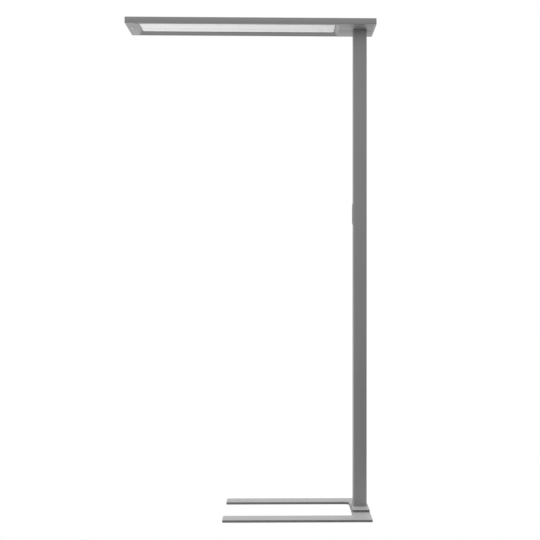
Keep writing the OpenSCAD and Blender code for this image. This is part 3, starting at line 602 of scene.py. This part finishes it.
# each rail keeps what lies on its side of the mitres at its two ends: the corner, and the way outwards
railCuts = {
    "front_rail": ("frontRail", "anodised", (((0, 0), (-1, 1)), ((1, 0), (1, 1)))),
    "rear_rail": ("rearRail", "anodised", (((0, 1), (-1, -1)), ((1, 1), (1, -1)))),
    "left_rail": ("leftRail", "silverSheet", (((0, 0), (1, -1)), ((0, 1), (1, 1)))),
    "right_rail": ("rightRail", "silverSheet", (((1, 0), (-1, -1)), ((1, 1), (-1, 1)))),
}


def makeHeadRails():
    lows, highs = zip(*[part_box(node) for node in railCuts])
    low = Vector([min(p[k] for p in lows) for k in range(3)])
    high = Vector([max(p[k] for p in highs) for k in range(3)])
    wall, rim, past = headLook["wall"], headLook["rim"], shop["past"]
    ring = block("headRing", low, high)
    roundEdges(ring, cornersAlong("z"), headLook["cornerRound"], headLook["cornerSteps"])
    roundEdges(ring, rimsAt("z", low.z, high.z), headLook["edgeRound"], headLook["edgeSteps"])
    cutAway(ring, [
        block("cavity", (low.x + wall, low.y + wall, low.z + headLook["flange"]),
              (high.x - wall, high.y - wall, high.z + past)),
        block("mouth", (low.x + rim, low.y + rim, low.z - past), (high.x - rim, high.y - rim, high.z)),
    ])
    for node, (name, coat, cuts) in railCuts.items():
        piece = copyOf(ring, name)
        for (endX, endY), facing in cuts:
            normal = Vector((*facing, 0)).normalized()
            corner = Vector(((low.x, high.x)[endX], (low.y, high.y)[endY], 0))
            place = corner - normal * headLook["mitreGap"]
            cutByPlane(piece, place, normal, use_fill=True, clear_outer=True)
        if node in ("front_rail", "rear_rail"):  # the middle of the rail opposite is still there
            away = 1 if node == "front_rail" else -1
            editOn(piece)
            pickFaces(piece, lambda c, n: c.y * away > 0)
            bpy.ops.mesh.delete(type="FACE")
            editOff()
        finishPiece(piece, [coat], instead=[node])
    bpy.data.objects.remove(ring, do_unlink=True)


makeHeadRails()

# foldTurns: the least and the most turn of a fold, in radians; slope: past this a face is a bevel's
frameLook = dict(bevelWidth=0.015, sheet=0.0016, edgeRound=0.0005, edgeSteps=3, foldTurns=(0.3, 2.5),
                 slope=0.3, paneRest=0.005, paneGap=0.00002, groove=0.0040, grooveDepth=0.0016,
                 stripInset=0.0003, stripRound=0.0003, gasketWidth=0.0013, gasketHeight=0.0013,
                 gasketGap=0.00003)


def makeLightFrame():
    low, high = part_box("light_frame")
    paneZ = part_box("mid_diffuser")[0].z
    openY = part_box("rear_diffuser")[1].y - frameLook["paneRest"]
    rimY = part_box("rear_rail")[1].y - headLook["rim"]
    edgeY = openY + frameLook["bevelWidth"]
    clearPicks()
    bpy.ops.mesh.primitive_plane_add(size=1, location=((low.x + high.x) / 2, 0, low.z))
    obj = bpy.context.object
    obj.name = "lightFrame"
    obj.scale = (high.x - low.x, rimY * 2, 1)
    obj.rotation_euler = (math.pi, 0, 0)
    bpy.ops.object.transform_apply(location=True, rotation=True, scale=True)
    for level in (-edgeY, edgeY):
        cutByPlane(obj, (0, level, 0), (0, 1, 0))
    editOn(obj)
    pickFaces(obj, lambda c, n: abs(c.y) < openY)
    bpy.ops.mesh.inset(thickness=frameLook["bevelWidth"], depth=low.z - paneZ, use_even_offset=True)
    bpy.ops.mesh.delete(type="FACE")
    editOff()
    leastTurn, mostTurn = frameLook["foldTurns"]

    def fold(middle, along, turn):  # where the flat rim turns into a bevel
        return leastTurn < turn < mostTurn and middle.z < low.z + shop["near"]

    roundEdges(obj, fold, frameLook["edgeRound"], frameLook["edgeSteps"])
    thicken(obj, frameLook["sheet"])
    cutByPlane(obj, (0, 0, paneZ - frameLook["paneGap"]), (0, 0, 1), use_fill=True, clear_outer=True)
    # dark strips along the long bevels: painted shade
    layShadowStrips(obj, low, high, edgeY)
    layShadowGasket(low, high, openY, paneZ)
    finishPiece(obj, ["anodised", "shadedBevelSheet", "litBevelSheet"], instead=["light_frame"])
    # by the way each face turns, the long bevels get the painted shade copy and the short bevels the
    # painted light copy
    slope = frameLook["slope"]
    for face in obj.data.polygons:
        short, long = abs(face.normal.x) > slope, abs(face.normal.y) > slope
        face.material_index = 2 if short else 1 if long else 0


def layShadowStrips(obj, low, high, edgeY):  # dark rubber strips in a groove along the outer edge of each long bevel: painted shade, standing in for the shadow line there
    past, depth = shop["past"], frameLook["grooveDepth"]
    strips = []
    for side in (-1, 1):
        near, far = sorted((side * edgeY, side * (edgeY + frameLook["groove"])))
        cutAway(obj, [block("groove", (low.x - past, near, low.z - past),
                            (high.x + past, far, low.z + depth))])
        strip = block("strip", (low.x, near, low.z + frameLook["stripInset"]),
                      (high.x, far, low.z + depth))
        softenAll(strip, frameLook["stripRound"])
        strips.append(strip)
    finishPiece(joinPieces("frameShadowStrips", strips), ["rubber"])


def layShadowGasket(low, high, openY, paneZ):  # a thin dark gasket round the panes, where the bevels end: a real joint, and its dark grey is also painted shade for the shadow line at the panes' edge
    wide, past = frameLook["gasketWidth"], shop["past"]
    startX, endX = low.x + frameLook["bevelWidth"], high.x - frameLook["bevelWidth"]
    gasket = block("paneShadowGasket", (startX - wide, -openY - wide, paneZ - frameLook["gasketHeight"]),
                   (endX + wide, openY + wide, paneZ - frameLook["gasketGap"]))
    cutAway(gasket, [block("inside", (startX, -openY, paneZ - past), (endX, openY, paneZ + past))])
    softenAll(gasket, frameLook["stripRound"])
    finishPiece(gasket, ["greyRubber"])


makeLightFrame()

coverLook = dict(edgeRound=0.0003, lipGap=0.00001, flange=0.0018, poleGap=0.0005, poleRound=0.0045,
                 poleSteps=6, poleReach=0.03, lensBore=0.0067, dayBore=0.0026)


def lowPlate(name, node, coat, makeTools, low, high):  # a flush plate with a lip above it
    lipLow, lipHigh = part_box(node)
    level = lipLow.z + coverLook["flange"]
    visible = block(name, (*low, lipLow.z), (*high, level))
    softenAll(visible, coverLook["edgeRound"])
    lip = block("lip", (lipLow.x, lipLow.y, level + coverLook["lipGap"]), lipHigh)
    for part in (visible, lip):
        cutAway(part, makeTools())
    finishPiece(joinPieces(name, [visible, lip]), [coat], instead=[node])


def poleTool():
    low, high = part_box("pole")
    gap = coverLook["poleGap"]
    tool = block("poleTool", (low.x - gap, low.y - gap, high.z - coverLook["poleReach"]),
                 (high.x + gap, high.y + gap, high.z + shop["past"]))
    roundEdges(tool, cornersAlong("z"), coverLook["poleRound"], coverLook["poleSteps"])
    return [tool]


def sensorTools():
    past, tools = shop["past"], []
    for node, size in (("sensor_lens", "lensBore"), ("daylight_sensor", "dayBore")):
        low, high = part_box(node)
        tools.append(rod("bore", (low + high) / 2, "z", low.z - past, high.z + past, coverLook[size]))
    return tools


def makeCovers():
    rim = headLook["rim"]
    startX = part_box("left_rail")[0].x + rim
    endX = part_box("right_rail")[1].x - rim
    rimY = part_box("rear_rail")[1].y - rim
    frameLow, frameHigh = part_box("light_frame")
    frontEnd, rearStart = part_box("front_cover")[1].y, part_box("rear_cover")[0].y
    # the covers take the darker, painted shade copy of the sheet
    lowPlate("frontCover", "front_cover", "shadedCoverSheet", poleTool,
             (frameHigh.x, -rimY), (endX, frontEnd))
    lowPlate("rearCover", "rear_cover", "shadedCoverSheet", poleTool,
             (frameHigh.x, rearStart), (endX, rimY))
    lowPlate("sensorPlate", "sensor_plate", "silverSheet", sensorTools,
             (startX, -rimY), (frameLow.x, rimY))


makeCovers()

paneLook = dict(edgeRound=0.0003, names={
    "mid_diffuser": ("midPane", "prism"), "front_diffuser": ("frontPane", "opal"),
    "rear_diffuser": ("rearPane", "opal"), "upper_diffuser": ("upperPane", "shadedUpperOpal")})


def makePanes():
    for node, (name, coat) in paneLook["names"].items():
        obj = block(name, *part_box(node))
        softenAll(obj, paneLook["edgeRound"])
        finishPiece(obj, [coat], instead=[node])


makePanes()

topLook = dict(windowRound=0.003, steps=6, edgeRound=0.0003, screwBore=0.0023, screwDepth=0.0011,
               paneRest=0.005)


def makeTopCover():
    low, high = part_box("top_cover")
    paneLow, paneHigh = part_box("upper_diffuser")
    rest, past = topLook["paneRest"], shop["past"]
    obj = block("topCover", low, high)
    window = block("window", (paneLow.x + rest, paneLow.y + rest, low.z - past),
                   (paneHigh.x - rest, paneHigh.y - rest, high.z + past))
    roundEdges(window, cornersAlong("z"), topLook["windowRound"], topLook["steps"])
    cutAway(obj, [window])
    softenAll(obj, topLook["edgeRound"])
    depth = topLook["screwDepth"]
    cutAway(obj, [rod("bore", spot, "z", high.z - depth, high.z + depth, topLook["screwBore"])
                  for spot in solidMiddles("top_screws")])
    finishPiece(obj, ["anodised"], instead=["top_cover"])


makeTopCover()

screwLook = dict(sides=32, radius=0.0022, head=0.001, round=0.00025, steps=3,
                 socket=0.0008, socketDepth=0.0006, socketSides=6)


def makeTopScrews():
    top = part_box("top_screws")[1].z
    middle = (0, 0, 0)
    model = rod("screw", middle, "z", top - screwLook["head"], top, screwLook["radius"],
                screwLook["sides"])
    roundEdges(model, rimsAt("z", top), screwLook["round"], screwLook["steps"])
    cutAway(model, [rod("socket", middle, "z", top - screwLook["socketDepth"], top + shop["past"],
                        screwLook["socket"], screwLook["socketSides"])])
    parts = [copyOf(model, "screwCopy", (spot.x, spot.y, 0)) for spot in solidMiddles("top_screws")]
    bpy.data.objects.remove(model, do_unlink=True)
    finishPiece(joinPieces("topScrews", parts), ["zinc"], instead=["top_screws"])


makeTopScrews()

# domeShare: how much of its depth the dome takes; it ends at its seat, and its facets a little below
lensLook = dict(domeShare=0.5, cuts=3, facetInset=0.00012, facetDepth=0.00008, facetTilt=0.05,
                facetDown=0.0002, seat=0.0008, facetAngle=12)
bezelLook = dict(sides=64, round=0.0004, steps=3, neckRadius=0.0066, lensGap=0.00005)
dayLook = dict(round=0.0003, steps=3, inset=0.0008, depth=0.0002, stemRadius=0.0025, stemSides=32)


def makePresenceLens(headZ):
    low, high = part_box("sensor_lens")
    middle = (low + high) / 2
    radius = (high.x - low.x) / 2
    seat = headZ - lensLook["seat"]
    clearPicks()
    bpy.ops.mesh.primitive_ico_sphere_add(subdivisions=lensLook["cuts"], radius=radius,
                                          location=(middle.x, middle.y, seat))
    lens = bpy.context.object
    lens.name = "presenceLens"
    lens.scale = (1, 1, (seat - low.z) / radius * lensLook["domeShare"])
    bpy.ops.object.transform_apply(location=True, rotation=True, scale=True)
    cutByPlane(lens, (0, 0, seat), (0, 0, 1), use_fill=True, clear_outer=True)
    editOn(lens)
    pickFaces(lens, lambda c, n: n.z < -lensLook["facetTilt"] and c.z < seat - lensLook["facetDown"])
    bpy.ops.mesh.inset(
        thickness=lensLook["facetInset"], depth=-lensLook["facetDepth"], use_individual=True)
    pickFaces(lens, lambda c, n: n.z > shop["alike"])
    bpy.ops.mesh.extrude_region_move(TRANSFORM_OT_translate={"value": (0, 0, high.z - seat)})
    editOff()
    finishPiece(lens, ["whitePlastic"], instead=["sensor_lens"], angle=lensLook["facetAngle"])


def makePresenceBezel(headZ):
    low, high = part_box("sensor_bezel")
    lensLow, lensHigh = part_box("sensor_lens")
    middle = (lensLow + lensHigh) / 2
    sides, past = bezelLook["sides"], shop["past"]
    bore = (lensHigh.x - lensLow.x) / 2 + bezelLook["lensGap"]
    ring = rod("presenceBezel", middle, "z", low.z, headZ, (high.x - low.x) / 2, sides)
    roundEdges(ring, rimsAt("z", low.z), bezelLook["round"], bezelLook["steps"])
    neck = rod("neck", middle, "z", headZ, high.z, bezelLook["neckRadius"], sides)
    for part in (ring, neck):
        cutAway(part, [rod("bore", middle, "z", low.z - past, high.z + past, bore, sides)])
    finishPiece(joinPieces("presenceBezel", [ring, neck]), ["darkPlastic"], instead=["sensor_bezel"])


def makeDaylightSensor(headZ):
    low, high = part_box("daylight_sensor")
    middle = (low + high) / 2
    rim = rod("daylightSensor", middle, "z", low.z, headZ, (high.x - low.x) / 2)
    roundEdges(rim, rimsAt("z", low.z), dayLook["round"], dayLook["steps"])
    editOn(rim)
    pickFaces(rim, lambda c, n: n.z < -shop["alike"])
    bpy.ops.mesh.inset(thickness=dayLook["inset"], depth=-dayLook["depth"])
    editOff()
    stem = rod("stem", middle, "z", headZ, high.z, dayLook["stemRadius"], dayLook["stemSides"])
    whole = joinPieces("daylightSensor", [rim, stem])
    finishPiece(whole, ["smokedPlastic"], instead=["daylight_sensor"])


for makeSensor in (makePresenceLens, makePresenceBezel, makeDaylightSensor):
    makeSensor(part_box("left_rail")[0].z)
print("Lamp: head made")

panelLook = dict(cornerRound=0.003, cornerSteps=6, edgeRound=0.0006, edgeSteps=3, buttonBore=0.0061,
                 buttonSides=64, screwBore=0.0023, screwDepth=0.001, screwSides=32)
keyLook = dict(radius=0.006, sides=64, round=0.0005, steps=3, capPast=0.00025, rimWidth=0.0009,
               dishEdge=0.0012, dish=0.0003, flangeRadius=0.0067, flangeSides=48, flange=0.001,
               flangeGap=0.00001, stemRadius=0.0015, stemSides=24)
keys = {
    "button_up": ("brighterKey", "up_key", "plus"),
    "button_power": ("powerKey", "power_key", "power"),
    "button_down": ("dimmerKey", "down_key", "minus"),
}


def makePanel():
    low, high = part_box("control_panel")
    obj = block("controlPanel", low, high)
    roundEdges(obj, cornersAlong("x"), panelLook["cornerRound"], panelLook["cornerSteps"])
    roundEdges(obj, rimsAt("x", low.x), panelLook["edgeRound"], panelLook["edgeSteps"])
    past, depth, tools = shop["past"], panelLook["screwDepth"], []
    for node in keys:
        keyLow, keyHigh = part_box(node)
        spot = (0, 0, (keyLow.z + keyHigh.z) / 2)
        tools.append(rod("bore", spot, "x", low.x - past, low.x + past, panelLook["buttonBore"],
                         panelLook["buttonSides"]))
    for spot in solidMiddles("panel_screws"):
        tools.append(rod("bore", spot, "x", low.x - depth, low.x + depth, panelLook["screwBore"],
                         panelLook["screwSides"]))
    cutAway(obj, tools)
    finishPiece(obj, ["greyPlastic"], instead=["control_panel"])


def makeKey(node, name, body, symbol):  # a dished cap, the flange that holds it in, and its stem
    low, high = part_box(node)
    spot = Vector((0, 0, (low.z + high.z) / 2))
    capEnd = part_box("control_panel")[1].x + keyLook["capPast"]
    flangeEnd = capEnd + keyLook["flange"]
    gap = keyLook["flangeGap"]
    cap = rod(name, spot, "x", low.x, capEnd, keyLook["radius"], keyLook["sides"])
    roundEdges(cap, rimsAt("x", low.x), keyLook["round"], keyLook["steps"])
    editOn(cap)
    pickFaces(cap, lambda c, n: n.x < -shop["alike"])
    bpy.ops.mesh.inset(thickness=keyLook["rimWidth"], depth=0)
    bpy.ops.mesh.inset(thickness=keyLook["dishEdge"], depth=-keyLook["dish"])
    editOff()
    flange = rod("flange", spot, "x", capEnd + gap, flangeEnd - gap, keyLook["flangeRadius"],
                 keyLook["flangeSides"])
    stem = rod("stem", spot, "x", flangeEnd, high.x, keyLook["stemRadius"], keyLook["stemSides"])
    finishPiece(joinPieces(name, [cap, flange, stem]), ["whitePlastic"], body=body, instead=[node])
    makeSymbol(name + "Mark", body, symbol, low.x + keyLook["dish"], spot.z)


# ringGap is a share of halfLine, gapShare and barShare are of half, and crossLift is of height
symbolLook = dict(height=0.00008, half=0.0021, halfLine=0.00035, crossLift=1.1,
                  ringSides=48, ringSteps=8, ringFlat=0.25, ringGap=2.6,
                  gapShare=2.0, gapDepth=0.001, barShare=1.25)


def makeSymbol(name, body, symbol, face, level):
    half, line, lift = symbolLook["half"], symbolLook["halfLine"], symbolLook["height"]
    bars = []
    if symbol in ("plus", "minus"):
        bars.append(block("bar", (face - lift, -half, level - line), (face + lift, half, level + line)))
    if symbol == "plus":
        bars.append(block("bar", (face - lift * symbolLook["crossLift"], -line, level - half),
                          (face + lift, line, level + half)))
    if symbol == "power":  # an open ring with a bar in its gap
        clearPicks()
        bpy.ops.mesh.primitive_torus_add(
            major_radius=half, minor_radius=line, location=(face, 0, level), rotation=(0, math.pi / 2, 0),
            major_segments=symbolLook["ringSides"], minor_segments=symbolLook["ringSteps"])
        ring = bpy.context.object
        ring.scale = (1, 1, symbolLook["ringFlat"])
        bpy.ops.object.transform_apply(location=True, rotation=True, scale=True)
        gap, depth = line * symbolLook["ringGap"], symbolLook["gapDepth"]
        cutAway(ring, [block("gap", (face - depth, -gap, level),
                             (face + depth, gap, level + half * symbolLook["gapShare"]))])
        bars.append(ring)
        bars.append(block("bar", (face - lift, -line, level),
                          (face + lift, line, level + half * symbolLook["barShare"])))
    finishPiece(joinPieces(name, bars), ["symbol"], body=body)


makePanel()
for node, (name, body, symbol) in keys.items():
    makeKey(node, name, body, symbol)
print("Lamp: control panel made")

# the pairs of sides and gains are for the left and the right; fades are where a light comes in
studio = dict(floorColour=0.90, floorSeen=1.02, floorShow=0.88,
              floorX=(-9.0, 9.0), floorY=(-0.27, 12.0),
              front=(0.30, 0.97), frontFade=(-0.32, 0.22), back=1.0, backFade=(-0.5, 0.2),
              sides=(1.10, 0.58), sideFade=(0.80, 0.97), top=1.50, topFade=(0.70, 0.95),
              gains=(1.06, 0.94), lampAt=(-1.9, -0.7, 0.25), lampAim=(-0.5, 0.0, 1.93),
              lampSize=1.6, lampWatts=12.0)


def makeFloor():
    clearPicks()
    (x0, x1), (y0, y1) = studio["floorX"], studio["floorY"]
    bpy.ops.mesh.primitive_plane_add(size=1, location=((x0 + x1) / 2, (y0 + y1) / 2, 0))
    floor = bpy.context.object
    floor.name = "studioFloor"
    floor.scale = (x1 - x0, y1 - y0, 1)
    bpy.ops.object.transform_apply(location=True, rotation=True, scale=True)
    material = bpy.data.materials.new("studioFloor")
    material.use_nodes = True
    tree = material.node_tree
    tree.nodes.clear()
    link = tree.links.new
    seen = addNode(tree, "ShaderNodeEmission", Color=(1, 1, 1, 1), Strength=studio["floorSeen"])
    lit = addNode(tree, "ShaderNodeBsdfDiffuse", Color=(*grey(studio["floorColour"]), 1))
    rays = addNode(tree, "ShaderNodeLightPath").outputs
    shown = mathNode(tree, "MAXIMUM", rays["Is Camera Ray"], rays["Is Glossy Ray"])
    shown = mathNode(tree, "MAXIMUM", shown, rays["Is Transmission Ray"])
    mix = addNode(tree, "ShaderNodeMixShader")
    link(mathNode(tree, "MULTIPLY", shown, studio["floorShow"]), mix.inputs["Fac"])
    link(lit.outputs[0], mix.inputs[1])
    link(seen.outputs[0], mix.inputs[2])
    under = addNode(tree, "ShaderNodeMixShader")  # a view from below looks through the floor
    side = addNode(tree, "ShaderNodeNewGeometry")
    clear = addNode(tree, "ShaderNodeBsdfTransparent")
    link(side.outputs["Backfacing"], under.inputs["Fac"])
    link(mix.outputs[0], under.inputs[1])
    link(clear.outputs[0], under.inputs[2])
    out = addNode(tree, "ShaderNodeOutputMaterial")
    link(under.outputs[0], out.inputs["Surface"])
    floor.data.materials.append(material)


def makeWorld():  # a white backdrop, a soft light above, and a dimmer room on the viewer's side
    world = bpy.data.worlds.new("studio")
    bpy.context.scene.world = world
    world.use_nodes = True
    tree = world.node_tree
    tree.nodes.clear()
    link = tree.links.new
    split = addNode(tree, "ShaderNodeSeparateXYZ")
    link(addNode(tree, "ShaderNodeTexCoord").outputs["Generated"], split.inputs[0])
    x, y, z = split.outputs
    whole, across = (0.0, 1.0), (-1.0, 1.0)

    def fade(source, span, values):
        return mapped(tree, source, span, values, "SMOOTHSTEP")

    behind = fade(y, studio["backFade"], whole)
    level = blend(tree, behind, fade(z, studio["frontFade"], studio["front"]), studio["back"])
    aside = fade(mathNode(tree, "ABSOLUTE", x), studio["sideFade"], whole)
    level = blend(tree, aside, level, fade(x, across, studio["sides"]))
    level = blend(tree, fade(z, studio["topFade"], whole), level, studio["top"])
    level = mathNode(tree, "MULTIPLY", level, fade(x, across, studio["gains"]))
    rays = addNode(tree, "ShaderNodeLightPath").outputs
    shown = mathNode(tree, "MAXIMUM", rays["Is Glossy Ray"], rays["Is Transmission Ray"])
    backdrop = mathNode(tree, "MULTIPLY", behind, mathNode(tree, "SUBTRACT", 1.0, aside))
    shown = mathNode(tree, "MULTIPLY", shown, backdrop)
    shown = mathNode(tree, "MAXIMUM", shown, rays["Is Camera Ray"])
    light = addNode(tree, "ShaderNodeBackground", Color=(1, 1, 1, 1))
    link(blend(tree, shown, level, 1.0), light.inputs["Strength"])
    out = addNode(tree, "ShaderNodeOutputWorld")
    link(light.outputs[0], out.inputs["Surface"])


def makeLamp():  # a large soft lamp low on the left, which lights the head's underside
    data = bpy.data.lights.new("lowLamp", "AREA")
    data.shape = "DISK"
    data.size = studio["lampSize"]
    data.energy = studio["lampWatts"]
    lamp = bpy.data.objects.new("lowLamp", data)
    bpy.context.collection.objects.link(lamp)
    lamp.location = studio["lampAt"]
    aim = Vector(studio["lampAim"]) - Vector(studio["lampAt"])
    lamp.rotation_euler = aim.to_track_quat("-Z", "Y").to_euler()


view = dict(at=(-0.3212, -3.8723, 0.9281), turn=0.01923, tilt=0.01968, roll=0.00147, framePixels=540,
            focalPixels=965.06, centrePixels=(298.17, 258.72), sensorWidth=36.0, clipEnd=100.0)


def makeCamera():  # its turn, tilt and roll are in radians
    data = bpy.data.cameras.new("view")
    camera = bpy.data.objects.new("view", data)
    bpy.context.collection.objects.link(camera)
    camera.location = view["at"]
    aim = Matrix.Rotation(-view["turn"], 3, "Z") @ Matrix.Rotation(math.pi / 2 + view["tilt"], 3, "X")
    aim = aim @ Matrix.Rotation(view["roll"], 3, "Z")
    camera.rotation_euler = aim.to_euler()
    size = view["framePixels"]
    centreX, centreY = view["centrePixels"]
    data.sensor_width = view["sensorWidth"]
    data.lens = view["focalPixels"] / size * view["sensorWidth"]
    data.shift_x = -(centreX - size / 2) / size
    data.shift_y = (centreY - size / 2) / size
    data.clip_end = view["clipEnd"]
    bpy.context.scene.camera = camera


makeFloor()
makeWorld()
makeLamp()
makeCamera()
bpy.context.scene.view_settings.view_transform = "Standard"
print("Lamp: studio made")
